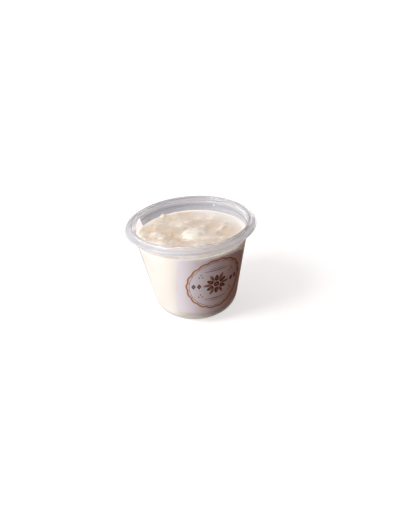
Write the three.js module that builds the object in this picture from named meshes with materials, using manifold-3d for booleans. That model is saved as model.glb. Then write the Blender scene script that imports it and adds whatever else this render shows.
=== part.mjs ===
// Rice pudding in a clear plastic dessert tub, with a paper sticker wrapped round the wall.
// Millimetres, +Z up. The tub stands on z = 0 about the Z axis, and its front faces -Y.
// An azimuth is measured in degrees from the front, towards +X.

import * as THREE from 'three';
import { mergeVertices } from 'three/addons/utils/BufferGeometryUtils.js';
import Module from 'manifold-3d';

const wasm = await Module();
wasm.setup();

// Tub: overall sizes
const rimHeight = 76.5;        // crest of the rim
const lipRadius = 50.5;        // widest edge of the lip
const tubSegments = 56;        // facets round the tub
const cornerStep = 0.42;       // largest turn of one facet round a corner, in radians

// Tub: wall, heel and foot
const skirtHeight = 66.7;      // underside of the collar, where the straight wall ends
const skirtWallRadius = 43.67; // outside of the wall at that height
const draft = THREE.MathUtils.degToRad(10.55);
const wallThickness = 0.8;
const heelRadius = 14;
const floorThickness = 2.1;
const footInset = 14;          // from the corner of wall and base to the inside of the foot
const footRecess = 1.3;
const footBevel = 0.9;

// Tub: collar and lip
const collarRadius = 45;
const collarFlare = 0.5;
const lipUnderside = 72.4;
const lipTop = 74.1;
const lipShoulder = 75.1;      // foot of the crest bead, on the outside
const beadInnerRadius = 44.2;
const beadOuterRadius = 46.9;
const ledgeHeight = 69.6;      // step inside the wall where a lid would stop
const ledgeWidth = 0.5;
const skirtCorner = 0.4;       // corner radii from the underside of the collar to the crest
const lipCorner = 0.7;
const lipEdge = 0.3;
const lipRound = 1.5;
const beadCorner = 1.25;

// Pudding
const gap = 0.3;               // clearance between touching pieces
const puddingLevel = 64.5;
const topRings = 20;           // ring k of the top has 6 k points

// The pudding that fell last: a soft mound, a fold round its left side and a crease between them
const mound = { x: 3, y: -2.8, halfWidth: 5.8, halfDepth: 7.4, height: 2.3, softness: 2.6 };
const fold = [                 // x, y and height of the fold's crest
  [4.8, 7.8, 0.2], [2, 6.8, 0.5], [-1.8, 4.4, 0.7], [-3.4, 0.6, 0.7], [-2.8, -4, 0.5], [0.4, -7.8, 0.3],
  [4, -9.4, 0.1],
];
const foldWidth = 2.6;
const foldSoftness = 2.2;
const foldSteps = 6;           // domes between two points of the fold
const crease = { x: 0.8, y: 3.4, along: 2.2, across: 1.2, turn: 80, height: -0.3 };

// Broad lumps and hollows of the top: place, half-widths along and across, turn in degrees, height
const swells = [
  { x: -33, y: 2, along: 8, across: 3, turn: 85, height: -0.5 },
  { x: -28.5, y: 3, along: 4.5, across: 3, turn: 70, height: 0.7 },
  { x: -22, y: -4, along: 5, across: 3, turn: 30, height: 0.7 },
  { x: -24, y: -11.5, along: 5, across: 3, turn: -20, height: 0.4 },
  { x: -15, y: -7, along: 7, across: 5, turn: -30, height: -0.7 },
  { x: -25, y: 18, along: 8, across: 4, turn: 35, height: 0.4 },
  { x: -11, y: 13.5, along: 6, across: 2, turn: 25, height: 1 },
  { x: -2.5, y: 20.5, along: 6, across: 1.8, turn: 10, height: 0.8 },
  { x: 12.5, y: -0.5, along: 6, across: 3, turn: 70, height: -0.7 },
  { x: 14, y: -9, along: 5, across: 3, turn: 40, height: 0.6 },
  { x: 24.5, y: 5.5, along: 5, across: 2.2, turn: 50, height: 1.1 },
  { x: 27, y: 13.5, along: 5, across: 2.4, turn: 25, height: 0.9 },
  { x: 22.5, y: -4, along: 5, across: 4, turn: 0, height: -0.9 },
  { x: 23, y: -11, along: 5, across: 3, turn: -20, height: 0.8 },
  { x: 2, y: -20, along: 9, across: 4, turn: 5, height: 0.4 },
];

// Where the edge of the pudding climbs the wall: azimuth, half-width in degrees, height
const climbs = [
  { azimuth: -106, spread: 9, height: 1.2 },
  { azimuth: -148, spread: 5, height: 1.6 },
  { azimuth: 100, spread: 16, height: 0.9 },
];
const climbReach = 3;          // how far a climb runs in from the wall

// Small soft lumps and the rice grains
const ripple = { count: 70, size: 5.2, height: 0.28, spread: 38 };
const grain = { count: 50, length: 6.8, width: 2.9, thickness: 2.4, spread: 38.5, sunk: 0.28 };
const goldenAngle = Math.PI * (3 - Math.sqrt(5));
const seed = 11;

// Sticker: its width is at mid height, each side leans outwards by the taper, and the top edge
// falls away by topFall towards the right end
const label = {
  width: 55.4, height: 52.2, thickness: 0.35, taper: 0.092, corner: 3, topFall: 7, azimuth: 24, centreRadius: 38.22,
};
const labelColumns = 24;
const labelRows = 6;

// A repeatable random number from 0 to 1
function randomFrom(start) {
  let state = start;
  return () => {
    state = (state * 1664525 + 1013904223) % 4294967296;
    return state / 4294967296;
  };
}

// Outside radius of the straight wall, extended as far as needed
function wallRadius(height) {
  return skirtWallRadius + (height - skirtHeight) * Math.tan(draft);
}

function insideRadius(height) {
  return wallRadius(height) - wallThickness / Math.cos(draft);
}

// Points of a line through corners [radius, height, corner radius], with the corners rounded
function roundedOutline(corners) {
  const place = ([radius, height]) => new THREE.Vector2(radius, height);
  const points = [];
  corners.forEach((corner, i) => {
    const tip = place(corner);
    const roundness = corner[2];
    if (!roundness) {
      points.push(tip);
      return;
    }
    const back = place(corners[i - 1]).sub(tip).normalize();
    const on = place(corners[i + 1]).sub(tip).normalize();
    const halfAngle = Math.acos(back.dot(on)) / 2;
    const reach = roundness / Math.tan(halfAngle);
    const centre = back.clone().add(on).setLength(roundness / Math.sin(halfAngle)).add(tip);
    const first = back.multiplyScalar(reach).add(tip).sub(centre);
    const last = on.multiplyScalar(reach).add(tip).sub(centre);
    const turn = Math.atan2(first.cross(last), first.dot(last));
    const steps = Math.ceil(Math.abs(turn) / cornerStep);
    for (let step = 0; step <= steps; step += 1) {
      const spoke = first.clone().rotateAround(new THREE.Vector2(), (turn * step) / steps);
      points.push(spoke.add(centre));
    }
  });
  return points;
}

// The whole tub is one turned shell: under the foot, up the outside, over the rim and down the inside
function tubGeometry() {
  const heelCorner = wallRadius(0);
  const footInner = heelCorner - footInset;
  const outline = roundedOutline([
    [0, footRecess],
    [footInner - footBevel, footRecess],
    [footInner, 0],
    [heelCorner, 0, heelRadius],
    [skirtWallRadius, skirtHeight, skirtCorner],
    [collarRadius, skirtHeight, skirtCorner],
    [collarRadius + collarFlare, lipUnderside, lipCorner],
    [lipRadius, lipUnderside, lipEdge],
    [lipRadius, lipTop, lipRound],
    [beadOuterRadius, lipShoulder, lipCorner],
    [beadOuterRadius, rimHeight, beadCorner],
    [beadInnerRadius, rimHeight, beadCorner],
    [insideRadius(ledgeHeight) + ledgeWidth, ledgeHeight + ledgeWidth],
    [insideRadius(ledgeHeight), ledgeHeight],
    [insideRadius(floorThickness), floorThickness, heelRadius - wallThickness],
    [0, floorThickness],
  ]);
  return new THREE.LatheGeometry(outline, tubSegments).rotateX(Math.PI / 2);
}

// A smooth bump of height 1, with the given half-widths
function bump(x, y, along, across, turn = 0) {
  const c = Math.cos(turn);
  const s = Math.sin(turn);
  const u = (x * c + y * s) / along;
  const v = (y * c - x * s) / across;
  return Math.exp(-(u * u + v * v));
}

const foldDomes = fold.slice(1).flatMap((end, i) => Array.from({ length: foldSteps }, (_, step) => {
  const start = new THREE.Vector3(...fold[i]);
  return start.lerp(new THREE.Vector3(...end), step / foldSteps);
}));

function swellHeight(x, y, swell) {
  const turn = THREE.MathUtils.degToRad(swell.turn);
  return swell.height * bump(x - swell.x, y - swell.y, swell.along, swell.across, turn);
}

// The mound, its fold and the crease, above the level of the pudding
function dollopHeight(x, y) {
  const away = Math.hypot((x - mound.x) / mound.halfWidth, (y - mound.y) / mound.halfDepth);
  const crests = foldDomes.map((dome) => {
    const distance = Math.hypot(x - dome.x, y - dome.y) / foldWidth;
    return dome.z * Math.exp(-(distance ** foldSoftness));
  });
  return mound.height * Math.exp(-(away ** mound.softness)) + Math.max(...crests) + swellHeight(x, y, crease);
}

const random = randomFrom(seed);
const ripples = Array.from({ length: ripple.count }, (_, i) => {
  const radius = ripple.spread * Math.sqrt((i + 0.5) / ripple.count);
  const angle = i * goldenAngle + random();
  return {
    x: radius * Math.cos(angle),
    y: radius * Math.sin(angle),
    along: ripple.size * (0.7 + 0.6 * random()),
    turn: Math.PI * random(),
    height: ripple.height * (i % 3 === 0 ? -1 : 1) * (0.6 + 0.8 * random()),
  };
});

// Height of the pudding's top over a point
function topHeight(x, y) {
  let height = puddingLevel + dollopHeight(x, y);
  for (const swell of swells) height += swellHeight(x, y, swell);
  for (const lump of ripples) {
    height += lump.height * bump(x - lump.x, y - lump.y, lump.along, lump.along / 2, lump.turn);
  }
  const inFromWall = insideRadius(puddingLevel) - Math.hypot(x, y);
  const azimuth = THREE.MathUtils.radToDeg(Math.atan2(x, -y));
  for (const climb of climbs) {
    const away = azimuth - climb.azimuth;
    height += climb.height * bump(away, inFromWall, climb.spread, climbReach);
  }
  return height;
}

// Joins two rings of points with triangles; either ring may be a single point
function stitch(index, upper, lower) {
  const upperSteps = upper.count > 1 ? upper.count : 0;
  const lowerSteps = lower.count > 1 ? lower.count : 0;
  const at = (ring, step) => ring.first + (step % ring.count);
  let u = 0;
  let l = 0;
  while (u < upperSteps || l < lowerSteps) {
    const lowerNext = l < lowerSteps && (u === upperSteps || (l + 1) * upperSteps <= (u + 1) * lowerSteps);
    if (lowerNext) {
      index.push(at(upper, u), at(lower, l), at(lower, l + 1));
      l += 1;
    } else {
      index.push(at(upper, u), at(lower, l), at(upper, u + 1));
      u += 1;
    }
  }
}

// The pudding is a stack of rings: out over the uneven top, down the wall and in under the base
function puddingGeometry() {
  const positions = [];
  const index = [];
  let above = null;
  const addRing = (count, point) => {
    const ring = { first: positions.length / 3, count };
    for (let i = 0; i < count; i += 1) positions.push(...point((2 * Math.PI * i) / count));
    if (above) stitch(index, above, ring);
    above = ring;
  };
  const edgeRadius = insideRadius(puddingLevel) - gap;
  for (let k = 0; k <= topRings; k += 1) {
    addRing(Math.max(1, 6 * k), (angle) => {
      const flatRadius = (edgeRadius * k) / topRings;
      const height = topHeight(flatRadius * Math.cos(angle), flatRadius * Math.sin(angle));
      const taper = ((height - puddingLevel) * Math.tan(draft) * k) / topRings;
      const radius = flatRadius + taper;
      return [radius * Math.cos(angle), radius * Math.sin(angle), height];
    });
  }
  const base = floorThickness + gap;
  const side = roundedOutline([
    [edgeRadius, puddingLevel],
    [insideRadius(base) - gap, base, heelRadius - wallThickness - gap],
    [0, base],
  ]).slice(1, -1);
  for (const { x, y } of side) {
    addRing(6 * topRings, (angle) => [x * Math.cos(angle), x * Math.sin(angle), y]);
  }
  addRing(1, () => [0, 0, base]);
  const geometry = new THREE.BufferGeometry();
  geometry.setAttribute('position', new THREE.Float32BufferAttribute(positions, 3));
  geometry.setIndex(index);
  return geometry;
}

// Rice grains that stand out of the top, spread as seeds in a flower head are
function grainGeometries() {
  const spread = Array.from({ length: grain.count }, (_, i) => {
    const radius = grain.spread * Math.sqrt((i + 0.5) / grain.count);
    const angle = i * goldenAngle + 0.6 * random();
    return { x: radius * Math.cos(angle), y: radius * Math.sin(angle) };
  });
  return spread.map(({ x, y }) => {
    const size = 0.85 + 0.3 * random();
    const geometry = new THREE.SphereGeometry(0.5, 6, 4).rotateZ(Math.PI / 2);
    geometry.scale(grain.length * size, grain.width * size, grain.thickness * size);
    geometry.rotateY(0.3 * (random() - 0.5));
    geometry.rotateZ(Math.PI * random());
    geometry.translate(x, y, topHeight(x, y) - grain.thickness * grain.sunk * size);
    return geometry;
  });
}

function toManifold(geometry) {
  const bare = geometry.clone();
  bare.deleteAttribute('normal');
  bare.deleteAttribute('uv');
  const merged = mergeVertices(bare);
  return new wasm.Manifold(new wasm.Mesh({
    numProp: 3,
    vertProperties: merged.getAttribute('position').array,
    triVerts: Uint32Array.from(merged.index.array),
  }));
}

function fromManifold(solid) {
  const { numProp, vertProperties, triVerts } = solid.getMesh();
  const geometry = new THREE.BufferGeometry();
  const flat = new THREE.InterleavedBuffer(vertProperties, numProp);
  geometry.setAttribute('position', new THREE.InterleavedBufferAttribute(flat, 3, 0));
  geometry.setIndex(Array.from(triVerts));
  return geometry;
}

function puddingWithRice() {
  let solid = toManifold(puddingGeometry());
  for (const geometry of grainGeometries()) solid = solid.add(toManifold(geometry));
  return fromManifold(solid);
}

// The sticker is a flat sheet with round corners, rolled on to the cone of the wall
function labelGeometry() {
  const { width, height, thickness, taper, corner, topFall } = label;
  const geometry = new THREE.BoxGeometry(width, height, thickness, labelColumns, labelRows, 1);
  const slantToCentre = label.centreRadius / Math.sin(draft);
  const middle = THREE.MathUtils.degToRad(label.azimuth);
  const apexHeight = skirtHeight - skirtWallRadius / Math.tan(draft);
  const position = geometry.getAttribute('position');
  for (let i = 0; i < position.count; i += 1) {
    const fromMiddle = position.getX(i);
    const pastCorner = THREE.MathUtils.clamp(Math.abs(fromMiddle) - (width / 2 - corner), 0, corner);
    const drop = corner - Math.sqrt(corner * corner - pastCorner * pastCorner);
    const towardsRight = Math.max(0, fromMiddle) / (width / 2);
    const fall = position.getY(i) > 0 ? topFall * towardsRight ** 2 : 0;
    const up = position.getY(i) * (1 - (drop + fall) / (height / 2));
    const across = fromMiddle * (1 + (2 * taper * up) / width);
    const lift = gap + thickness / 2 + position.getZ(i);
    const slant = Math.hypot(across, slantToCentre + up);
    const azimuth = middle + Math.atan2(across, slantToCentre + up) / Math.sin(draft);
    const radius = slant * Math.sin(draft) + lift * Math.cos(draft);
    const z = apexHeight + slant * Math.cos(draft) - lift * Math.sin(draft);
    position.setXYZ(i, radius * Math.sin(azimuth), -radius * Math.cos(azimuth), z);
  }
  return geometry;
}

function piece(name, geometry, look) {
  const mesh = new THREE.Mesh(geometry, new THREE.MeshStandardMaterial(look));
  mesh.name = name;
  return mesh;
}

const clearPlastic = { color: '#e4e3e8', roughness: 0.12, metalness: 0, transparent: true, opacity: 0.35 };
const creamyPudding = { color: '#eadccb', roughness: 0.35, metalness: 0 };
const stickerPaper = { color: '#d6cbcc', roughness: 0.5, metalness: 0 };

const riceDessert = new THREE.Group();
riceDessert.add(piece('tub', tubGeometry(), clearPlastic));
riceDessert.add(piece('rice_pudding', puddingWithRice(), creamyPudding));
riceDessert.add(piece('label', labelGeometry(), stickerPaper));

export default riceDessert;
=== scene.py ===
# Rice pudding in a clear dessert tub with a sticker on its wall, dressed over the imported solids.
# Shapes are worked out in millimetres and turned to metres as each mesh is finished.
import math
import random
import bmesh
import bpy
import numpy as np
from mathutils import Matrix, Quaternion, Vector


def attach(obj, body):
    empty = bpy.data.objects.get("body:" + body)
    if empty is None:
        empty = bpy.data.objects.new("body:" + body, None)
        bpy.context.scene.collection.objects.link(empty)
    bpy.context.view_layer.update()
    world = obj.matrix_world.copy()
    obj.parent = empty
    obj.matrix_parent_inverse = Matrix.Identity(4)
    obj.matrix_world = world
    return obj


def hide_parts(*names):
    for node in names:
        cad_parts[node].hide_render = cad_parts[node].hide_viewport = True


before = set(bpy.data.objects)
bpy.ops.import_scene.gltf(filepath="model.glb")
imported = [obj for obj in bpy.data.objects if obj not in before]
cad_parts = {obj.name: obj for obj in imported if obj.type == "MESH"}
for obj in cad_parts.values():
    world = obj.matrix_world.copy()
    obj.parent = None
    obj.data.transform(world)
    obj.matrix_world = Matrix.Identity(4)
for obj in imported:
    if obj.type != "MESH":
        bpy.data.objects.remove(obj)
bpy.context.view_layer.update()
mm = 0.001
sharpEdge = 0.8        # radians between two faces above which their edge shades as a crease
cornerStep = 0.16      # radians that one facet of a rounded corner turns
print("frame loaded:", ", ".join(sorted(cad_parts)))


# helpers that every piece uses

def srgb(hexColour):
    # sRGB hex to the linear colour that shaders use
    parts = [int(hexColour[i:i + 2], 16) / 255 for i in (1, 3, 5)]
    linear = [c / 12.92 if c <= 0.04045 else ((c + 0.055) / 1.055) ** 2.4 for c in parts]
    return (*linear, 1.0)


def addNode(tree, kind, settings=None, links=None):
    # settings: properties, or values of input sockets; links: input socket -> output socket
    node = tree.nodes.new(kind)
    for name, value in (settings or {}).items():
        if isinstance(name, str) and hasattr(node, name) and name not in node.inputs:
            setattr(node, name, value)
        else:
            node.inputs[name].default_value = value
    for name, output in (links or {}).items():
        tree.links.new(output, node.inputs[name])
    return node


def newMaterial(name):
    material = bpy.data.materials.new(name)
    material.use_nodes = True
    tree = material.node_tree
    tree.nodes.clear()
    return material, tree, addNode(tree, "ShaderNodeTexCoord")


def finishMaterial(tree, shader, letsThrough=None):
    # lamp light crosses a thin or clear piece, and letsThrough is its colour behind it
    if letsThrough:
        path = addNode(tree, "ShaderNodeLightPath")
        lampLight = addNode(tree, "ShaderNodeBsdfTransparent", {"Color": srgb(letsThrough)})
        shader = addNode(tree, "ShaderNodeMixShader", None,
                         {0: path.outputs["Is Shadow Ray"], 1: shader.outputs[0], 2: lampLight.outputs[0]})
    addNode(tree, "ShaderNodeOutputMaterial", None, {"Surface": shader.outputs[0]})


def addNoise(tree, coords, size, detail):
    # soft blotches about size mm across
    return addNode(tree, "ShaderNodeTexNoise", {"Scale": 1 / (size * mm), "Detail": detail},
                   {"Vector": coords.outputs["Object"]})


def addBump(tree, pattern, depth, strength=1.0):
    return addNode(tree, "ShaderNodeBump", {"Strength": strength, "Distance": depth * mm},
                   {"Height": pattern.outputs["Fac"]})


def setRamp(node, stops):
    # stops: (position, colour) from left to right
    ramp = node.color_ramp
    while len(ramp.elements) < len(stops):
        ramp.elements.new(0.5)
    for element, (position, colour) in zip(ramp.elements, stops):
        element.position = position
        element.color = colour


def thicken(bm, depth):
    # the flat sheet becomes a closed one of that depth, growing outwards
    grown = bmesh.ops.extrude_face_region(bm, geom=bm.faces[:])["geom"]
    verts = [item for item in grown if isinstance(item, bmesh.types.BMVert)]
    bmesh.ops.translate(bm, vec=(0, 0, depth), verts=verts)
    bmesh.ops.recalc_face_normals(bm, faces=bm.faces)


def finishPiece(bm, name, materials, nodes=()):
    # millimetres to metres, smooth faces, then on to the object's one body
    bmesh.ops.scale(bm, vec=(mm, mm, mm), verts=bm.verts)
    for face in bm.faces:
        face.smooth = True
    for edge in bm.edges:
        edge.smooth = len(edge.link_faces) != 2 or edge.calc_face_angle() < sharpEdge
    mesh = bpy.data.meshes.new(name)
    bm.to_mesh(mesh)
    bm.free()
    for material in materials:
        mesh.materials.append(material)
    piece = bpy.data.objects.new(name, mesh)
    bpy.context.scene.collection.objects.link(piece)
    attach(piece, "root")
    if nodes:
        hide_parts(*nodes)
    mesh.calc_loop_triangles()
    print(name, len(mesh.loop_triangles), "triangles")


# the clear tub, one turned shell

tub = {
    "rimHeight": 76.5,
    "lipRadius": 50.5,
    "skirtHeight": 66.7,
    "skirtWallRadius": 43.67,
    "draft": math.radians(10.55),
    "wallThickness": 0.8,
    "heelRadius": 14,
    "floorThickness": 2.1,
    "footInset": 14,
    "footRecess": 1.3,
    "footBevel": 0.9,
    "footCorner": 0.3,
    "collarRadius": 45,
    "collarFlare": 0.5,
    "lipUnderside": 72.4,
    "lipTop": 74.1,
    "lipShoulder": 75.1,
    "beadInner": 44.2,
    "beadOuter": 46.9,
    "ledgeHeight": 69.6,
    "ledgeWidth": 0.5,
    "ledgeCorner": 0.25,
    "skirtCorner": 0.4,
    "lipCorner": 0.7,
    "lipEdge": 0.3,        # lower corner of the lip's edge
    "lipRound": 1.5,       # and its upper one
    "beadCorner": 1.25,
    "steps": 192,          # facets round the tub
    "longestEdge": 2.5,    # along the outline
    "gateRadius": 1.6,     # small nub under the base where the plastic came in
    "gateHeight": 0.5,
    "gateSlope": 0.3,
    "gateCorner": 0.2,
}


def wallRadius(height):
    return tub["skirtWallRadius"] + (height - tub["skirtHeight"]) * math.tan(tub["draft"])


def insideRadius(height):
    return wallRadius(height) - tub["wallThickness"] / math.cos(tub["draft"])


def roundCorner(bm, vert, roundness):
    # a fillet of that radius between the corner's two edges
    back, on = [(edge.other_vert(vert).co - vert.co).normalized() for edge in vert.link_edges]
    halfAngle = back.angle(on) / 2
    turn = math.pi - 2 * halfAngle
    bmesh.ops.bevel(bm, geom=[vert], affect="VERTICES", offset_type="OFFSET",
                    offset=roundness / math.tan(halfAngle), segments=max(3, round(turn / cornerStep)),
                    profile=0.5, material=-1, clamp_overlap=False)


def splitLongEdges(bm, longest):
    for edge in list(bm.edges):
        cuts = math.ceil(edge.calc_length() / longest) - 1
        if cuts > 0:
            bmesh.ops.subdivide_edges(bm, edges=[edge], cuts=cuts)


def spinOutline(bm, steps):
    bmesh.ops.spin(bm, geom=bm.verts[:] + bm.edges[:], cent=(0, 0, 0), axis=(0, 0, 1),
                   angle=2 * math.pi, steps=steps, use_merge=True, use_duplicate=False)
    bmesh.ops.remove_doubles(bm, verts=bm.verts, dist=0.001)
    bmesh.ops.recalc_face_normals(bm, faces=bm.faces)


def makeTub(material):
    heelCorner = wallRadius(0)
    footInner = heelCorner - tub["footInset"]
    small = tub["lipCorner"]
    floor = tub["floorThickness"]
    gate = tub["footRecess"] - tub["gateHeight"]
    ledge = tub["ledgeHeight"]
    corners = [
        (0, gate, 0),
        (tub["gateRadius"], gate, tub["gateCorner"]),
        (tub["gateRadius"] + tub["gateSlope"], tub["footRecess"], tub["gateCorner"]),
        (footInner - tub["footBevel"], tub["footRecess"], tub["footCorner"]),
        (footInner, 0, tub["footCorner"]),
        (heelCorner, 0, tub["heelRadius"]),
        (tub["skirtWallRadius"], tub["skirtHeight"], tub["skirtCorner"]),
        (tub["collarRadius"], tub["skirtHeight"], tub["skirtCorner"]),
        (tub["collarRadius"] + tub["collarFlare"], tub["lipUnderside"], small),
        (tub["lipRadius"], tub["lipUnderside"], tub["lipEdge"]),
        (tub["lipRadius"], tub["lipTop"], tub["lipRound"]),
        (tub["beadOuter"], tub["lipShoulder"], small),
        (tub["beadOuter"], tub["rimHeight"], tub["beadCorner"]),
        (tub["beadInner"], tub["rimHeight"], tub["beadCorner"]),
        (insideRadius(ledge) + tub["ledgeWidth"], ledge + tub["ledgeWidth"], tub["ledgeCorner"]),
        (insideRadius(ledge), ledge, tub["ledgeCorner"]),
        (insideRadius(floor), floor, tub["heelRadius"] - tub["wallThickness"]),
        (0, floor, 0),
    ]
    bm = bmesh.new()
    verts = [bm.verts.new((radius, 0, height)) for radius, height, _ in corners]
    for first, second in zip(verts, verts[1:]):
        bm.edges.new((first, second))
    for vert, (_, _, roundness) in zip(verts, corners):
        if roundness:
            roundCorner(bm, vert, roundness)
    splitLongEdges(bm, tub["longestEdge"])
    spinOutline(bm, tub["steps"])
    finishPiece(bm, "clear_tub", [material], ["tub"])


clearPlasticLook = {
    "tint": "#f2f5f8",
    "roughness": 0.06,
    "ior": 1.49,
    "clearness": (0.92, 0.86),   # of the thin wall and of the thick rim; the rest is milky scatter
    "haze": 0.28,                # share of light scattered inside the plastic of the lip
    "hazeBack": 0.4,             # and how much of that turns back
    "hazeStart": (45.6, 47.4),   # radii between which it sets in, mm
    "straight": (0.34, 0.13),    # share of light that crosses without bending, wall and rim
    "rimStart": (66.0, 73.0),    # heights between which the wall turns into rim, mm
    "straightTint": "#f9fafc",
    "letsThrough": "#f6f6f8",    # lamp light that crosses it
    "waveSize": 14.0,      # mm between the faint waves of the moulded wall
    "waveDepth": 0.010,    # mm
}


def makeClearPlastic():
    # Moulded polypropylene: clear with a slight milky haze, so edges and the thick rim read grey-white
    look = clearPlasticLook
    material, tree, coords = newMaterial("mouldedPolypropylene")
    bump = addBump(tree, addNoise(tree, coords, look["waveSize"], 1.0), look["waveDepth"])
    place = addNode(tree, "ShaderNodeSeparateXYZ", None, {"Vector": coords.outputs["Object"]})
    shares = []
    for thin, thick in (look["clearness"], look["straight"]):
        shares.append(addNode(tree, "ShaderNodeMapRange",
                              {"From Min": look["rimStart"][0] * mm, "From Max": look["rimStart"][1] * mm,
                               "To Min": thin, "To Max": thick}, {"Value": place.outputs["Z"]}))
    clearness, straightShare = shares
    flat = addNode(tree, "ShaderNodeVectorMath", {"operation": "MULTIPLY", 1: (1, 1, 0)},
                   {0: coords.outputs["Object"]})
    outwards = addNode(tree, "ShaderNodeVectorMath", {"operation": "LENGTH"}, {0: flat.outputs[0]})
    hazeShare = addNode(tree, "ShaderNodeMapRange",
                        {"From Min": look["hazeStart"][0] * mm, "From Max": look["hazeStart"][1] * mm,
                         "To Max": look["haze"]}, {"Value": outwards.outputs["Value"]})
    plastic = addNode(tree, "ShaderNodeBsdfPrincipled",
                      {"Base Color": srgb(look["tint"]), "Roughness": look["roughness"], "IOR": look["ior"]},
                      {"Transmission Weight": clearness.outputs["Result"], "Normal": bump.outputs["Normal"]})
    hazeOn = addNode(tree, "ShaderNodeBsdfTranslucent", {"Color": srgb(look["tint"])})
    hazeBack = addNode(tree, "ShaderNodeBsdfDiffuse", {"Color": srgb(look["tint"])})
    haze = addNode(tree, "ShaderNodeMixShader", {0: look["hazeBack"]},
                   {1: hazeOn.outputs[0], 2: hazeBack.outputs[0]})
    hazy = addNode(tree, "ShaderNodeMixShader", None,
                   {0: hazeShare.outputs["Result"], 1: plastic.outputs[0], 2: haze.outputs[0]})
    straight = addNode(tree, "ShaderNodeBsdfTransparent", {"Color": srgb(look["straightTint"])})
    wall = addNode(tree, "ShaderNodeMixShader", None,
                   {0: straightShare.outputs["Result"], 1: hazy.outputs[0], 2: straight.outputs[0]})
    finishMaterial(tree, wall, look["letsThrough"])
    return material


makeTub(makeClearPlastic())


# the pudding, which fills the tub to its wall

pudding = {
    "level": 64.5,
    "intoWall": 0.12,       # mm the pudding reaches into the wall, so no air shows between them
    "gridSteps": 196,
    # the cream that fell last: a soft flat mound, a fold that lies round its left side, and a crease
    "mound": (3.0, -2.8, 5.8, 7.4, 2.3),      # x, y, half-width, half-depth, height
    "moundSoftness": 2.6,                      # 2 falls away like a bell, more is flatter on top
    "paintedMoundLight": 2.6,                          # painted light: the mound is as pale as a lump higher by this, which lifts the shade on its far side
    "paintedMoundLightReach": 3.5,                          # and the painted light stays so for this far to each side
    "fold": [(4.8, 7.8, 0.2), (2.0, 6.8, 0.5), (-1.8, 4.4, 0.7), (-3.4, 0.6, 0.7), (-2.8, -4.0, 0.5),
             (0.4, -7.8, 0.3), (4.0, -9.4, 0.1)],
    "foldWidth": 2.6,
    "foldSoftness": 2.2,
    "foldSteps": 6,        # domes between two points of the fold
    "crease": (0.8, 3.4, 2.2, 1.2, 80, -0.3),  # x, y, half-length, half-width, turn, height
    # broad lumps and hollows: x, y, half-length, half-width, turn in degrees, height
    "swells": [
        (-33, 2, 8, 3.0, 85, -0.5), (-28.5, 3, 4.5, 3, 70, 0.7), (-22, -4, 5, 3, 30, 0.7),
        (-24, -11.5, 5, 3, -20, 0.4), (-15, -7, 7, 5, -30, -0.7), (-25, 18, 8, 4, 35, 0.4),
        (-11, 13.5, 6, 2.0, 25, 1.0), (-2.5, 20.5, 6, 1.8, 10, 0.8), (12.5, -0.5, 6, 3, 70, -0.7),
        (14, -9, 5, 3, 40, 0.6), (24.5, 5.5, 5, 2.2, 50, 1.1), (27, 13.5, 5, 2.4, 25, 0.9),
        (22.5, -4, 5, 4, 0, -0.9), (23, -11, 5, 3, -20, 0.8), (2, -20, 9, 4, 5, 0.4),
    ],
    # where the edge climbs the wall: azimuth, half-width in degrees, height
    "climbs": [(-106, 9, 1.2), (-148, 3, 1.6), (100, 16, 0.9)],
    "climbReach": 2.4,
    "rippleCount": 110,
    "rippleSize": 4.6,
    "rippleHeight": 0.27,
    "rippleSpread": 40,
    "grainFree": 2.0,      # grains thin out within this much of the wall, mm
    "meniscus": 0.7,       # height and width of the curl up the wall
    "meniscusWidth": 0.8,
    "wallTone": 0.2,       # the cream seen through the wall is as pale as a lump this high
    "paintedEdgeGlint": 2.6,       # and its edge along the wall as one this high: a painted highlight of the meniscus
    "paintedEdgeGlintWidth": 1.8,
    "paintedFootLightShare": 0.7,      # share of painted light at the foot, which lifts the shade under the heel
    "paintedFootLightTone": 3.0,       # which makes it paler
    "paintedFootLightFade": 22,        # and thins out at this many mm for a whole share
    # behind the wall round the sticker the cream is painted paler, painted light that stands in for light
    # falling there: azimuth, share of it
    "paintedSideLight": ((-56, 0), (-16, 1), (62, 1), (110, 0)),
    "milkAzimuth": 130,
    "milkSpread": 48,
    "milkWidth": 9.0,
    "milkCalm": 0.9,       # and there the top has so much less relief
    "sideStart": 2.5,      # first ring down the wall, below the level
    "sideSpacing": 3.0,    # longest step from ring to ring
    "baseCentre": 1.0,     # radius of the last ring, under the base
    "seed": 11,
}

rice = {
    "count": 230,
    "length": 7.2,
    "width": 2.9,
    "proud": 0.36,         # how far a grain lifts the cream above it, mm
    "edge": 1.25,          # 1 falls away like a bell, more has steeper sides
    "spread": 39.5,
    "seed": 5,
}


def softBump(x, y, along, across, turn):
    u = (x * math.cos(turn) + y * math.sin(turn)) / along
    v = (y * math.cos(turn) - x * math.sin(turn)) / across
    return np.exp(-(u * u + v * v))


def dollopHeight(x, y):
    # the fold is a row of soft domes along its path
    middleX, middleY, halfWidth, halfDepth, high = pudding["mound"]
    away = np.hypot((x - middleX) / halfWidth, (y - middleY) / halfDepth)
    mound = high * np.exp(-away ** pudding["moundSoftness"])
    path = [Vector(point) for point in pudding["fold"]]
    fold = np.zeros_like(x)
    for first, second in zip(path, path[1:]):
        for step in range(pudding["foldSteps"]):
            px, py, lift = first.lerp(second, step / pudding["foldSteps"])
            away = np.hypot(x - px, y - py) / pudding["foldWidth"]
            fold = np.maximum(fold, lift * np.exp(-away ** pudding["foldSoftness"]))
    px, py, along, across, turn, lift = pudding["crease"]
    return mound + fold + lift * softBump(x - px, y - py, along, across, math.radians(turn))


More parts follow.
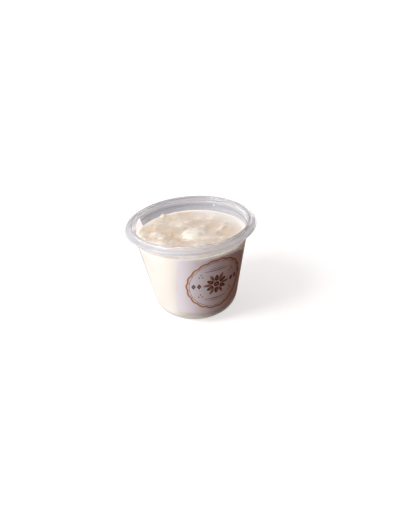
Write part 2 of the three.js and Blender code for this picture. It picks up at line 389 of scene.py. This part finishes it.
def grainHeight(x, y):
    # cooked grains just under the cream: each lifts a small oval of the surface
    chance = random.Random(rice["seed"])
    height = np.zeros_like(x)
    for i in range(rice["count"]):
        radius = rice["spread"] * math.sqrt((i + 0.5) / rice["count"])
        angle = i * math.pi * (3 - math.sqrt(5)) + chance.uniform(-0.3, 0.3)
        centreX = radius * math.cos(angle)
        centreY = radius * math.sin(angle)
        turn = chance.uniform(0, math.pi)
        size = chance.uniform(0.8, 1.15)
        lift = rice["proud"] * chance.uniform(0.15, 1.0)
        u = ((x - centreX) * math.cos(turn) + (y - centreY) * math.sin(turn)) / (rice["length"] / 2 * size)
        v = ((y - centreY) * math.cos(turn) - (x - centreX) * math.sin(turn)) / (rice["width"] / 2 * size)
        oval = np.exp(-((u * u + v * v) ** rice["edge"]))
        height = np.maximum(height, lift * oval)
    return height


def milkShare(x, y):
    # thin milk has gathered smooth and pale along the wall at the back right
    inFromWall = insideRadius(pudding["level"]) - np.hypot(x, y)
    away = (np.degrees(np.arctan2(x, -y)) - pudding["milkAzimuth"]) / pudding["milkSpread"]
    return np.exp(-away ** 4) * np.exp(-(np.clip(inFromWall, 0, None) / pudding["milkWidth"]) ** 2)


def topHeight(x, y):
    chance = random.Random(pudding["seed"])
    rough = 1 - pudding["milkCalm"] * milkShare(x, y)
    height = pudding["level"] + dollopHeight(x, y)
    for px, py, along, across, turn, lift in pudding["swells"]:
        height += lift * softBump(x - px, y - py, along, across, math.radians(turn))
    for i in range(pudding["rippleCount"]):
        radius = pudding["rippleSpread"] * math.sqrt((i + 0.5) / pudding["rippleCount"])
        angle = i * math.pi * (3 - math.sqrt(5)) + chance.random()
        size = pudding["rippleSize"] * chance.uniform(0.7, 1.3)
        lift = pudding["rippleHeight"] * chance.uniform(0.6, 1.4) * (-1 if i % 3 == 0 else 1)
        height += rough * lift * softBump(x - radius * math.cos(angle), y - radius * math.sin(angle),
                                          size, size / 2, chance.uniform(0, math.pi))
    inFromWall = insideRadius(pudding["level"]) - np.hypot(x, y)
    calm = 1 - np.exp(-np.clip(inFromWall, 0, None) / pudding["grainFree"])
    height += grainHeight(x, y) * calm * rough
    azimuth = np.degrees(np.arctan2(x, -y))
    for middle, spread, lift in pudding["climbs"]:
        away = (azimuth - middle + 180) % 360 - 180
        height += lift * np.exp(-(away / spread) ** 2 - (inFromWall / pudding["climbReach"]) ** 2)
    height += pudding["meniscus"] * np.exp(-np.clip(inFromWall, 0, None) / pudding["meniscusWidth"])
    return height


def squareToDisc(x, y):
    # even mapping of the square from -1 to 1 on to the unit disc
    wide = np.abs(x) >= np.abs(y)
    radius = np.where(wide, x, y)
    safeX = np.where(x == 0, 1, x)
    safeY = np.where(y == 0, 1, y)
    angle = np.where(wide, math.pi / 4 * y / safeX, math.pi / 2 - math.pi / 4 * x / safeY)
    return radius * np.cos(angle), radius * np.sin(angle)


def makePudding(material):
    steps = pudding["gridSteps"]
    into = pudding["intoWall"]
    bm = bmesh.new()
    bmesh.ops.create_grid(bm, x_segments=steps, y_segments=steps, size=1.0)
    flat = np.array([vert.co[:2] for vert in bm.verts])
    x, y = squareToDisc(flat[:, 0], flat[:, 1])
    edgeRadius = insideRadius(pudding["level"])
    heights = topHeight(x * edgeRadius, y * edgeRadius)
    reach = edgeRadius + (heights - pudding["level"]) * math.tan(tub["draft"]) + into
    for vert, px, py, z, r in zip(bm.verts, x, y, heights, reach):
        vert.co = (px * r, py * r, z)
    # down the wall and in under the base, ring by ring
    base = tub["floorThickness"] - into
    corner = tub["heelRadius"] - tub["wallThickness"]
    start = pudding["level"] - pudding["sideStart"]
    side = bmesh.new()
    outline = [side.verts.new(place) for place in (
        (insideRadius(start) + into, 0, start),
        (insideRadius(base) + into, 0, base),
        (pudding["baseCentre"], 0, base))]
    side.edges.new(outline[:2])
    side.edges.new(outline[1:])
    roundCorner(side, outline[1], corner)
    splitLongEdges(side, pudding["sideSpacing"])
    rings = sorted(((v.co.x, v.co.z) for v in side.verts), key=lambda p: (-round(p[1], 3), -p[0]))
    side.free()
    lift = bm.verts.layers.float.new("lift")
    milk = bm.verts.layers.float.new("milk")
    behind = bm.verts.layers.float.new("behindWall")
    # painted light: share of the paler wall cream, by azimuth round the sticker
    paintedSideLight = bm.verts.layers.float.new("paintedSideLight")
    milky = milkShare(x * edgeRadius, y * edgeRadius)
    # painted highlight: a pale band of the meniscus along the wall, carried in the lift attribute
    pale = pudding["paintedEdgeGlint"] * np.exp(-edgeRadius * (1 - np.hypot(x, y)) / pudding["paintedEdgeGlintWidth"])
    # painted light on the mound, which lifts the shade of its far side
    middleX, middleY, halfWidth, halfDepth, _ = pudding["mound"]
    pale += pudding["paintedMoundLight"] * softBump(x * edgeRadius - middleX, y * edgeRadius - middleY,
                                            halfWidth + pudding["paintedMoundLightReach"], halfDepth, 0)
    for vert, z, share, extra in zip(bm.verts, heights, milky, pale):
        vert[lift] = z - pudding["level"] + extra
        vert[milk] = share
    boundary = [edge for edge in bm.edges if edge.is_boundary]
    for radius, height in rings:
        made = bmesh.ops.extrude_edge_only(bm, edges=boundary)["geom"]
        boundary = [item for item in made if isinstance(item, bmesh.types.BMEdge) and item.is_boundary]
        for vert in {vert for edge in boundary for vert in edge.verts}:
            away = Vector((vert.co.x, vert.co.y)).normalized() * radius
            vert.co = (away.x, away.y, height)
            # painted light: the foot is painted paler to lift the shade under the heel, and mixes towards
            # the top colour
            footLight = max(0.0, pudding["paintedFootLightShare"] - height / pudding["paintedFootLightFade"])
            vert[lift] = pudding["wallTone"] + pudding["paintedFootLightTone"] * footLight
            vert[milk] = 0.0
            vert[behind] = 1 - footLight
            azimuth = math.degrees(math.atan2(vert.co.x, -vert.co.y))
            vert[paintedSideLight] = np.interp(azimuth, *zip(*pudding["paintedSideLight"]))
    bmesh.ops.contextual_create(bm, geom=boundary)
    bmesh.ops.recalc_face_normals(bm, faces=bm.faces)
    finishPiece(bm, "creamy_rice_pudding", [material], ["rice_pudding"])


puddingLook = {
    "cream": "#e0d7ca",
    "warm": "#dec9ad",
    "pale": "#fff5e8",
    "milk": "#e4e4df",
    # pressed against the plastic it has no sheen of its own: deeper cream, and towards the sticker a paler
    # cream that is painted light
    "behindWall": ("#ebe5de", "#fffaf4"),
    "wallShare": 0.85,
    "grainShape": (3.2, 3.2, 7.5),  # mm, pale grains that show faintly through the cream
    "grainTurn": (0.5, 0.3, 0.7),
    "grainBend": 4.0,      # mm that the patches push them about
    "grainTone": 0.08,
    "paintedReliefTone": 0.25,      # painted light and shade by height: how much a lump is paler and a hollow warmer, per mm
    "roughness": 0.34,
    "ior": 1.40,
    "scatterTint": (1.0, 0.84, 0.68),   # red light goes furthest
    "scatterDepth": (1.8, 14.0),  # mm, in the broken top and in the smooth mass behind the wall
    "patchSize": 17.0,     # mm, warm and pale patches
    "grainSize": 3.2,      # mm, mottling at the size of a grain
    "skinDepth": 0.09,     # mm, fine relief of the surface
}


def makePuddingCream():
    # Milk, starch and soft rice: pale cream that light sinks into, wet on top,
    # patchy where grains lie near the skin
    look = puddingLook
    material, tree, coords = newMaterial("creamyRicePudding")
    patches = addNoise(tree, coords, look["patchSize"], 3.0)
    bent = addNode(tree, "ShaderNodeVectorMath", {"operation": "SCALE", "Scale": look["grainBend"] * mm},
                   {0: patches.outputs["Color"]})
    moved = addNode(tree, "ShaderNodeVectorMath", {"operation": "ADD"},
                    {0: coords.outputs["Object"], 1: bent.outputs[0]})
    laid = addNode(tree, "ShaderNodeMapping",
                   {"vector_type": "TEXTURE", "Rotation": look["grainTurn"],
                    "Scale": [size * mm for size in look["grainShape"]]}, {"Vector": moved.outputs[0]})
    grainCells = addNode(tree, "ShaderNodeTexVoronoi", {"Scale": 1.0, "Randomness": 1.0},
                         {"Vector": laid.outputs[0]})
    grainPale = addNode(tree, "ShaderNodeMapRange",
                        {"From Min": 0.15, "From Max": 0.65,
                         "To Min": look["grainTone"], "To Max": -look["grainTone"]},
                        {"Value": grainCells.outputs["Distance"]})
    mottle = addNode(tree, "ShaderNodeMath", {"operation": "ADD"},
                     {0: patches.outputs["Fac"], 1: grainPale.outputs["Result"]})
    # the lift attribute carries height and the painted light of edge, mound and foot; lumps painted paler
    # and hollows warmer is painted light and shade
    lift = addNode(tree, "ShaderNodeAttribute", {"attribute_name": "lift"})
    tone = addNode(tree, "ShaderNodeMath", {"operation": "MULTIPLY_ADD", 1: look["paintedReliefTone"]},
                   {0: lift.outputs["Fac"], 2: mottle.outputs[0]})
    creamRamp = addNode(tree, "ShaderNodeValToRGB", None, {"Fac": tone.outputs[0]})
    setRamp(creamRamp, [(0.18, srgb(look["warm"])), (0.56, srgb(look["cream"])), (0.85, srgb(look["pale"]))])
    milk = addNode(tree, "ShaderNodeAttribute", {"attribute_name": "milk"})
    topColour = addNode(tree, "ShaderNodeMix", {"data_type": "RGBA", 7: srgb(look["milk"])},
                        {0: milk.outputs["Fac"], 6: creamRamp.outputs["Color"]})
    behind = addNode(tree, "ShaderNodeAttribute", {"attribute_name": "behindWall"})
    wallShare = addNode(tree, "ShaderNodeMath", {"operation": "MULTIPLY", 1: look["wallShare"]},
                        {0: behind.outputs["Fac"]})
    # painted light: the wall cream is painted paler round the sticker
    paintedSideLight = addNode(tree, "ShaderNodeAttribute", {"attribute_name": "paintedSideLight"})
    deeper, paintedLitWall = look["behindWall"]
    wallColour = addNode(tree, "ShaderNodeMix", {"data_type": "RGBA", 6: srgb(deeper), 7: srgb(paintedLitWall)},
                         {0: paintedSideLight.outputs["Fac"]})
    colour = addNode(tree, "ShaderNodeMix", {"data_type": "RGBA"},
                     {0: wallShare.outputs[0], 6: topColour.outputs[2], 7: wallColour.outputs[2]})
    bump = addBump(tree, addNoise(tree, coords, look["grainSize"], 1.5), look["skinDepth"])
    depth = addNode(tree, "ShaderNodeMapRange",
                    {"To Min": look["scatterDepth"][0] * mm, "To Max": look["scatterDepth"][1] * mm},
                    {"Value": behind.outputs["Fac"]})
    cream = addNode(tree, "ShaderNodeBsdfPrincipled",
                    {"Roughness": look["roughness"], "IOR": look["ior"],
                     "Subsurface Weight": 1.0, "Subsurface Radius": look["scatterTint"]},
                    {"Base Color": colour.outputs[2], "Normal": bump.outputs["Normal"],
                     "Subsurface Scale": depth.outputs["Result"]})
    finishMaterial(tree, cream)
    return material


makePudding(makePuddingCream())


smear = {
    # top edge of the cream left on the wall: azimuth, height
    "edge": [(-118, 64.8), (-114.8, 66.4), (-114.4, 69.6), (-114.0, 72.4), (-113.2, 73.0),
             (-111, 72.5), (-107.4, 72.0), (-104, 71.0), (-100, 69.4), (-96.5, 67.4), (-86, 66.6),
             (-74, 66.0), (-58, 64.8)],
    "foot": 62.5,
    "thickness": 0.7,
    "thinnest": 0.12,
    "thinning": 2.5,       # it keeps its thickness low down and thins out towards its top edge
    "endRise": (12, 6),    # how fast it thickens from either end
    "wave": (0.25, 0.9, 2.0),   # thickness comes and goes: share, radians per degree round and per mm up
    "columns": 150,
    "rows": 26,
    "dry": "#fdf9f2",
    "wet": "#ffffff",
    "streakSize": 2.5,     # mm between streaks
    "lit": 0.8,            # share of the light that comes through from behind
    "letsThrough": "#fbf8f3",
}


def innerRadius(height):
    # inside of the tub, also above the ledge where a lid would stop
    ledge = tub["ledgeHeight"]
    step = min(max(height - ledge, 0), tub["ledgeWidth"])
    if height <= ledge + tub["ledgeWidth"]:
        return insideRadius(min(height, ledge)) + step
    share = (height - ledge - tub["ledgeWidth"]) / (tub["rimHeight"] - ledge - tub["ledgeWidth"])
    return insideRadius(ledge) + step + share * (tub["beadInner"] - insideRadius(ledge) - step)


def makeSmear(material):
    # thin cream that ran back down the wall, thickest where it meets the pudding
    bm = bmesh.new()
    bmesh.ops.create_grid(bm, x_segments=smear["columns"], y_segments=smear["rows"], size=0.5)
    thicken(bm, 1.0)
    azimuths, tops = zip(*smear["edge"])
    fromFirst, fromLast = smear["endRise"]
    waveShare, waveAlong, waveUp = smear["wave"]
    for vert in bm.verts:
        along, up, inwards = vert.co.x + 0.5, vert.co.y + 0.5, vert.co.z
        azimuth = azimuths[0] + (azimuths[-1] - azimuths[0]) * along
        top = float(np.interp(azimuth, azimuths, tops))
        height = smear["foot"] + (top - smear["foot"]) * up
        full = min(1.0, fromFirst * along, fromLast * (1 - along)) * (1 - up ** smear["thinning"])
        thick = smear["thinnest"] + (smear["thickness"] - smear["thinnest"]) * full
        thick *= 1 + waveShare * math.sin(waveAlong * azimuth + waveUp * height)
        radius = innerRadius(height) + pudding["intoWall"] - inwards * (pudding["intoWall"] + thick)
        turn = math.radians(azimuth)
        vert.co = (radius * math.sin(turn), -radius * math.cos(turn), height)
    bmesh.ops.recalc_face_normals(bm, faces=bm.faces)
    finishPiece(bm, "wall_smear", [material])


def makeCreamFilm():
    # The same cream as a thin film: light from behind comes through, so it glows at the lit side
    material, tree, coords = newMaterial("thinCreamFilm")
    streaks = addNoise(tree, coords, smear["streakSize"], 2.0)
    ramp = addNode(tree, "ShaderNodeValToRGB", None, {"Fac": streaks.outputs["Fac"]})
    setRamp(ramp, [(0.3, srgb(smear["dry"])), (0.7, srgb(smear["wet"]))])
    wet = addNode(tree, "ShaderNodeBsdfPrincipled",
                  {"Roughness": puddingLook["roughness"], "IOR": puddingLook["ior"]},
                  {"Base Color": ramp.outputs["Color"]})
    glow = addNode(tree, "ShaderNodeBsdfTranslucent", None, {"Color": ramp.outputs["Color"]})
    film = addNode(tree, "ShaderNodeMixShader", {0: smear["lit"]}, {1: wet.outputs[0], 2: glow.outputs[0]})
    finishMaterial(tree, film, smear["letsThrough"])
    return material


makeSmear(makeCreamFilm())


# the paper sticker on the wall

sticker = {
    "width": 55.4,         # at mid height
    "height": 52.2,
    "taper": 0.092,        # each side leans outwards by this much of the height
    "thickness": 0.12,
    "corner": 3.0,
    "topFall": 7.0,        # how far the top edge falls away towards the right end
    "azimuth": math.radians(24),
    "centreRadius": 38.22,
    "standOff": 0.05,      # from the wall to the back of the paper
    "past": 0.55,          # share of the width that the upright cuts cover, to either side
    "columns": 48,
}


def rollOnWall(bm, standOff):
    # flat sticker coordinates (x across, y up, z out) on to the cone of the wall
    slantToCentre = sticker["centreRadius"] / math.sin(tub["draft"])
    apex = tub["skirtHeight"] - tub["skirtWallRadius"] / math.tan(tub["draft"])
    for vert in bm.verts:
        across, up, out = vert.co
        slant = math.hypot(across, slantToCentre + up)
        azimuth = sticker["azimuth"] + math.atan2(across, slantToCentre + up) / math.sin(tub["draft"])
        away = standOff + out
        radius = slant * math.sin(tub["draft"]) + away * math.cos(tub["draft"])
        height = apex + slant * math.cos(tub["draft"]) - away * math.sin(tub["draft"])
        vert.co = (radius * math.sin(azimuth), -radius * math.cos(azimuth), height)


def cutAcross(bm, spacing, halfWidth):
    # upright cuts, so that a flat shape can follow the round wall
    cuts = int(2 * halfWidth / spacing)
    for i in range(1, cuts):
        place = -halfWidth + i * spacing
        bmesh.ops.bisect_plane(bm, geom=bm.verts[:] + bm.edges[:] + bm.faces[:], dist=0.0001,
                               plane_co=(place, 0, 0), plane_no=(1, 0, 0))


def makeSticker(material):
    bm = bmesh.new()
    bmesh.ops.create_grid(bm, x_segments=1, y_segments=1, size=0.5)
    bmesh.ops.scale(bm, vec=(sticker["width"], sticker["height"], 1), verts=bm.verts)
    for vert in bm.verts:
        vert.co.x += math.copysign(sticker["taper"] * vert.co.y, vert.co.x)
    bmesh.ops.bevel(bm, geom=bm.verts[:], affect="VERTICES", offset_type="OFFSET", offset=sticker["corner"],
                    segments=8, profile=0.5, material=-1, clamp_overlap=False)
    cutAcross(bm, sticker["width"] / sticker["columns"], sticker["past"] * sticker["width"])
    for vert in bm.verts:
        if vert.co.y > 0:
            towardsRight = min(1.0, max(0.0, vert.co.x) / (sticker["width"] / 2))
            fall = sticker["topFall"] * towardsRight ** 2
            vert.co.y *= 1 - fall / (sticker["height"] / 2)
    thicken(bm, sticker["thickness"])
    rollOnWall(bm, sticker["standOff"])
    finishPiece(bm, "paper_sticker", [material], ["label"])


stickerLook = {
    "paper": "#e9e6f0",
    "letsThrough": "#a3a09c",  # light that crosses the paper into the pudding
    "roughness": 0.42,
    "fibre": 0.5,          # mm between paper fibres, drawn coarse enough to show
    "fibreDepth": 0.02,
    "fibreTone": (0.96, 1.0),
    "inkTone": (0.88, 1.1),
    "inkRoughness": 0.36,
    "ior": 1.5,
}


def tintByFibres(tree, fibres, colour, tones):
    # the colour comes and goes a little with the fibres
    darkest, lightest = tones
    tone = addNode(tree, "ShaderNodeMapRange",
                   {"From Min": 0.3, "From Max": 0.7, "To Min": darkest, "To Max": lightest},
                   {"Value": fibres.outputs["Fac"]})
    return addNode(tree, "ShaderNodeVectorMath", {"operation": "SCALE", 0: srgb(colour)[:3]},
                   {"Scale": tone.outputs["Result"]})


def makeStickerPaper():
    # Coated paper label: off-white with a soft satin sheen
    look = stickerLook
    material, tree, coords = newMaterial("coatedStickerPaper")
    fibres = addNoise(tree, coords, look["fibre"], 2.0)
    colour = tintByFibres(tree, fibres, look["paper"], look["fibreTone"])
    bump = addBump(tree, fibres, look["fibreDepth"], 0.3)
    paper = addNode(tree, "ShaderNodeBsdfPrincipled", {"Roughness": look["roughness"], "IOR": look["ior"]},
                    {"Base Color": colour.outputs[0], "Normal": bump.outputs["Normal"]})
    finishMaterial(tree, paper, look["letsThrough"])
    return material


makeSticker(makeStickerPaper())

printed = {
    "centre": (0.0, 1.2),      # middle of the design on the sticker, mm
    "ringRadius": 23.4,
    "ringWidth": 1.35,
    "scallops": 18,
    "scallopDepth": 0.8,
    "hairlineRadius": 21.2,
    "hairlineWidth": 0.28,
    "petals": 12,
    "petalLength": (7.6, 5.8), # long and short by turns
    "petalWidth": 2.9,
    "petalStart": 2.9,
    "heart": 2.4,
    "diamondPlaces": (13.6, 17.8),
    "diamond": (1.7, 2.6),
    "diamondHeart": (0.68, 1.04),
    "bars": ((13.4, 19.0, 0.55), (15.2, 12.0, 0.35)),  # height above the middle, length, thickness
    "dotPlace": (12.4, 9.6),
    "dotSpacing": 1.5,
    "dotRadius": 0.62,
    "depth": 0.02,
    "ringSteps": 216,
    "cutSpacing": 1.6,         # between the upright cuts that let the print follow the wall
    "inks": {"caramelInk": "#b8763a", "darkBrownInk": "#43302c", "roseBrownInk": "#b18c80"},
}
inkOrder = list(printed["inks"])


def addShape(bm, ink, layer, segments, scale, turn=0.0, place=(0.0, 0.0), outwards=0.0):
    # a filled round or diamond shape in one ink, moved out along its turn; layer 1 lies on layer 0
    made = bmesh.ops.create_circle(bm, cap_ends=True, segments=segments, radius=1.0)["verts"]
    bmesh.ops.scale(bm, vec=(*scale, 1), verts=made)
    bmesh.ops.translate(bm, vec=(outwards, 0, 0), verts=made)
    bmesh.ops.rotate(bm, cent=(0, 0, 0), matrix=Matrix.Rotation(turn, 3, "Z"), verts=made)
    away = Vector((*place, layer * printed["depth"])) + Vector((*printed["centre"], 0))
    bmesh.ops.translate(bm, vec=away, verts=made)
    for face in {face for vert in made for face in vert.link_faces}:
        face.material_index = inkOrder.index(ink)


def addRing(bm, ink, radius, width, scallops=0, depth=0.0):
    made = bmesh.ops.create_circle(bm, cap_ends=False, segments=printed["ringSteps"], radius=radius)["verts"]
    for vert in made:
        angle = math.atan2(vert.co.y, vert.co.x)
        vert.co *= 1 + depth * (abs(math.cos(scallops * angle / 2)) - 0.5) / radius
    edges = list({edge for vert in made for edge in vert.link_edges})
    grown = bmesh.ops.extrude_edge_only(bm, edges=edges)["geom"]
    inner = [item for item in grown if isinstance(item, bmesh.types.BMVert)]
    bmesh.ops.scale(bm, vec=(1 - width / radius,) * 2 + (1,), verts=inner)
    bmesh.ops.translate(bm, vec=(*printed["centre"], 0), verts=made + inner)
    for face in {face for vert in inner for face in vert.link_faces}:
        face.material_index = inkOrder.index(ink)


def makePrint(materials):
    # a rosette between bars, diamonds and dots, inside a scalloped ring
    bm = bmesh.new()
    addRing(bm, "caramelInk", printed["ringRadius"], printed["ringWidth"], printed["scallops"],
            printed["scallopDepth"])
    addRing(bm, "darkBrownInk", printed["hairlineRadius"], printed["hairlineWidth"])
    for i in range(printed["petals"]):
        length = printed["petalLength"][i % 2]
        width = printed["petalWidth"]
        turn = 2 * math.pi * i / printed["petals"]
        middle = printed["petalStart"] + length / 2
        under, over = ("darkBrownInk", "roseBrownInk") if i % 2 else ("roseBrownInk", "darkBrownInk")
        addShape(bm, under, 0, 24, (length / 2, width / 2), turn, outwards=middle)
        addShape(bm, over, 1, 16, (length / 4, width / 8), turn, outwards=middle)
    addShape(bm, "darkBrownInk", 0, 24, (printed["heart"],) * 2)
    addShape(bm, "caramelInk", 1, 20, (printed["heart"] / 2,) * 2)
    for side in (-1, 1):
        for away in printed["diamondPlaces"]:
            addShape(bm, "darkBrownInk", 0, 4, printed["diamond"], 0, (side * away, 0))
            addShape(bm, "roseBrownInk", 1, 4, printed["diamondHeart"], 0, (side * away, 0))
        for height, length, thickness in printed["bars"]:
            addShape(bm, "darkBrownInk", 0, 32, (length / 2, thickness / 2), 0, (0, side * height))
        for upper in (-1, 1):
            x, y = side * printed["dotPlace"][0], upper * printed["dotPlace"][1]
            for i in range(3):
                turn = math.pi / 2 + i * 2 * math.pi / 3
                spotX = x + printed["dotSpacing"] * math.cos(turn)
                spotY = y + printed["dotSpacing"] * math.sin(turn)
                addShape(bm, "caramelInk", 0, 16, (printed["dotRadius"],) * 2, 0, (spotX, spotY))
    cutAcross(bm, printed["cutSpacing"], printed["ringRadius"] + 1)
    thicken(bm, printed["depth"])
    rollOnWall(bm, sticker["standOff"] + sticker["thickness"])
    finishPiece(bm, "sticker_print", materials)


def makeInk(name, colour):
    # Printed ink: flat colour, a little glossier than the paper, thin enough for the fibres to tint it
    look = stickerLook
    material, tree, coords = newMaterial(name)
    shade = tintByFibres(tree, addNoise(tree, coords, look["fibre"], 2.0), colour, look["inkTone"])
    ink = addNode(tree, "ShaderNodeBsdfPrincipled", {"Roughness": look["inkRoughness"], "IOR": look["ior"]},
                  {"Base Color": shade.outputs[0]})
    finishMaterial(tree, ink)
    return material


makePrint([makeInk(name, colour) for name, colour in printed["inks"].items()])


# camera, floor and light

view = {
    "place": (0.0, -0.40636, 0.26702),
    "aim": (0.00532, -0.01120, 0.05179),
    "roll": -4.202,
    "lens": 41.30,
}


def makeCamera():
    lens = bpy.data.cameras.new("camera")
    lens.lens = view["lens"]
    lens.sensor_width = 36
    lens.clip_start = 0.01
    lens.clip_end = 100
    camera = bpy.data.objects.new("camera", lens)
    bpy.context.scene.collection.objects.link(camera)
    place = Vector(view["place"])
    turn = (Vector(view["aim"]) - place).to_track_quat("-Z", "Y")
    camera.rotation_mode = "QUATERNION"
    camera.rotation_quaternion = turn @ Quaternion((0, 0, 1), math.radians(view["roll"]))
    camera.location = place
    bpy.context.scene.camera = camera


studio = {
    "floor": "#bebdbc",        # as the camera sees it
    "floorGlow": (0.66, 1.05),     # near the tub and far from it
    "floorFar": (0.25, 0.6),       # m
    "throughPlastic": "#f2f2f7",   # as the clear plastic shows it
    # painted shade: a dark pool round and behind the tub, seen only through the plastic; its colour, then
    # its middle and reach below
    "throughPaintedShade": "#868690",
    "throughGlow": 0.08,
    "paintedShadePlace": (-0.04, 0.15, 0.0),
    "paintedShadeReach": 0.15,
    "bounce": "#dcd8d4",       # as it lights the object, pale at the left and brown at the right
    "bounceRight": "#5a3a2c",
    "bounceGlow": 0.50,
    "bounceTurn": (-0.015, 0.020),   # where it changes, along x, m
    "floorSize": 12.0,
    "matte": {"Roughness": 0.9, "Specular IOR Level": 0.0},
    "worldSeen": (1.0, 1.0, 1.0),
    "worldBright": (0.62, 0.63, 0.68),
    "worldDim": (0.130, 0.062, 0.040),
    "worldSide": (-0.76, 0.0, 0.66),
    "lightAim": (0.0, 0.0, 0.06),
    # area lights: place, width and height in m, watts, colour
    "lights": {"key": ((-0.552, -0.257, 0.609), (0.34, 0.34), 6.1, "#fffaf6"),
               "fill": ((0.40, 0.69, 0.17), (0.8, 0.26), 1.9, "#f6f4f2")},
}


def makeFloor():
    # a pale table that sends back a softer, greyer light than it shows, and through the plastic shows a
    # painted shade round the tub
    bm = bmesh.new()
    bmesh.ops.create_grid(bm, x_segments=1, y_segments=1, size=studio["floorSize"])
    mesh = bpy.data.meshes.new("floor")
    bm.to_mesh(mesh)
    bm.free()
    floor = bpy.data.objects.new("floor", mesh)
    bpy.context.scene.collection.objects.link(floor)
    material, tree, coords = newMaterial("paleFloor")
    away = addNode(tree, "ShaderNodeVectorMath", {"operation": "LENGTH"}, {0: coords.outputs["Object"]})
    glow = addNode(tree, "ShaderNodeMapRange",
                   {"From Min": studio["floorFar"][0], "From Max": studio["floorFar"][1],
                    "To Min": studio["floorGlow"][0], "To Max": studio["floorGlow"][1]},
                   {"Value": away.outputs["Value"]})
    shown = addNode(tree, "ShaderNodeBsdfPrincipled",
                    {**studio["matte"], "Base Color": srgb(studio["floor"]), "Emission Color": (1, 1, 1, 1)},
                    {"Emission Strength": glow.outputs["Result"]})
    place = addNode(tree, "ShaderNodeSeparateXYZ", None, {"Vector": coords.outputs["Object"]})
    rightness = addNode(tree, "ShaderNodeMapRange",
                        {"From Min": studio["bounceTurn"][0], "From Max": studio["bounceTurn"][1]},
                        {"Value": place.outputs["X"]})
    bounce = addNode(tree, "ShaderNodeMix",
                     {"data_type": "RGBA", 6: srgb(studio["bounce"]), 7: srgb(studio["bounceRight"])},
                     {0: rightness.outputs["Result"]})
    sent = addNode(tree, "ShaderNodeBsdfPrincipled",
                   {**studio["matte"], "Emission Strength": studio["bounceGlow"]},
                   {"Base Color": bounce.outputs[2], "Emission Color": bounce.outputs[2]})
    # painted shade: a dark pool on the floor round the tub, seen only through the plastic
    centred = addNode(tree, "ShaderNodeMapping",
                      {"vector_type": "TEXTURE", "Location": studio["paintedShadePlace"],
                       "Scale": (studio["paintedShadeReach"],) * 3}, {"Vector": coords.outputs["Object"]})
    paintedShadePool = addNode(tree, "ShaderNodeTexGradient", {"gradient_type": "SPHERICAL"},
                   {"Vector": centred.outputs[0]})
    paintedShadeRamp = addNode(tree, "ShaderNodeValToRGB", None, {"Fac": paintedShadePool.outputs["Fac"]})
    setRamp(paintedShadeRamp, [(0.0, srgb(studio["throughPlastic"])), (0.7, srgb(studio["throughPaintedShade"]))])
    through = addNode(tree, "ShaderNodeBsdfPrincipled",
                      {**studio["matte"], "Emission Strength": studio["throughGlow"]},
                      {"Base Color": paintedShadeRamp.outputs["Color"], "Emission Color": paintedShadeRamp.outputs["Color"]})
    path = addNode(tree, "ShaderNodeLightPath")
    mirrored = addNode(tree, "ShaderNodeMath", {"operation": "MULTIPLY"},
                       {0: path.outputs["Is Reflection Ray"], 1: rightness.outputs["Result"]})
    bounced = addNode(tree, "ShaderNodeMath", {"operation": "MAXIMUM"},
                      {0: path.outputs["Diffuse Depth"], 1: mirrored.outputs[0]})
    unseen = addNode(tree, "ShaderNodeMixShader", None,
                     {0: bounced.outputs[0], 1: through.outputs[0], 2: sent.outputs[0]})
    floorMix = addNode(tree, "ShaderNodeMixShader", None,
                       {0: path.outputs["Is Camera Ray"], 1: unseen.outputs[0], 2: shown.outputs[0]})
    finishMaterial(tree, floorMix)
    mesh.materials.append(material)


def makeLight():
    scene = bpy.context.scene
    scene.view_settings.view_transform = "Standard"
    world = bpy.data.worlds.new("studio")
    scene.world = world
    world.use_nodes = True
    tree = world.node_tree
    tree.nodes.clear()
    coords = addNode(tree, "ShaderNodeTexCoord")
    side = addNode(tree, "ShaderNodeVectorMath",
                   {"operation": "DOT_PRODUCT", 1: Vector(studio["worldSide"]).normalized()},
                   {0: coords.outputs["Generated"]})
    ramp = addNode(tree, "ShaderNodeValToRGB", None, {"Fac": side.outputs["Value"]})
    setRamp(ramp, [(0.32, (*studio["worldDim"], 1)), (0.85, (*studio["worldBright"], 1))])
    ramp.color_ramp.interpolation = "EASE"
    sent = addNode(tree, "ShaderNodeBackground", None, {"Color": ramp.outputs["Color"]})
    seen = addNode(tree, "ShaderNodeBackground", {"Color": (*studio["worldSeen"], 1)})
    path = addNode(tree, "ShaderNodeLightPath")
    sky = addNode(tree, "ShaderNodeMixShader", None,
                  {0: path.outputs["Is Camera Ray"], 1: sent.outputs[0], 2: seen.outputs[0]})
    addNode(tree, "ShaderNodeOutputWorld", None, {"Surface": sky.outputs[0]})
    for name, (place, (width, height), power, colour) in studio["lights"].items():
        lamp = bpy.data.lights.new(name, "AREA")
        lamp.shape = "ELLIPSE"
        lamp.size = width
        lamp.size_y = height
        lamp.energy = power
        lamp.color = srgb(colour)[:3]
        stand = bpy.data.objects.new(name, lamp)
        scene.collection.objects.link(stand)
        stand.location = place
        towards = Vector(studio["lightAim"]) - stand.location
        stand.rotation_euler = towards.to_track_quat("-Z", "Y").to_euler()


makeCamera()
makeFloor()
makeLight()
print("camera, floor and light are set")
